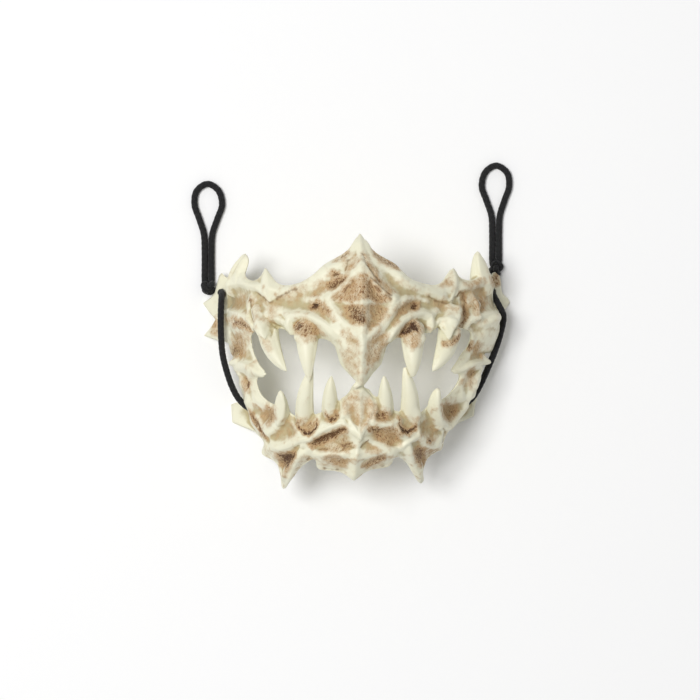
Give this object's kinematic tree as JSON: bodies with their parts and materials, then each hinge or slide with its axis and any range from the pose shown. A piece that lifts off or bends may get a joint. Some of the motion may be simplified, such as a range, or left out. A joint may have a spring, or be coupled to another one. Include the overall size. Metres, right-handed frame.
{
  "type": "fanged half mask",
  "caption": "Half mask cast as a fanged jaw bone, with an open mouth, rim spikes and elastic ear loops.",
  "frame": {"origin": "on the surface that the mask lies on, under the middle of the casting's box", "axes": "+Z out of the face, away from the surface; +Y up the face to the nose spike; +X to the right of a viewer who looks at the face"},
  "size_m": [0.18, 0.1814, 0.103],
  "materials": {
    "bone_resin": "cast resin, ivory, stained tan and brown in its hollows, satin",
    "black_elastic": "round braided elastic cord, black, matt"
  },
  "bodies": {
    "root": {"mask": "bone_resin", "side_cord_left": "black_elastic", "ear_loop_left": "black_elastic", "side_cord_right": "black_elastic", "ear_loop_right": "black_elastic", "ear_knot_left": "black_elastic", "stopper_knot_left": "black_elastic", "ear_knot_right": "black_elastic", "stopper_knot_right": "black_elastic"}
  },
  "joints": []
}
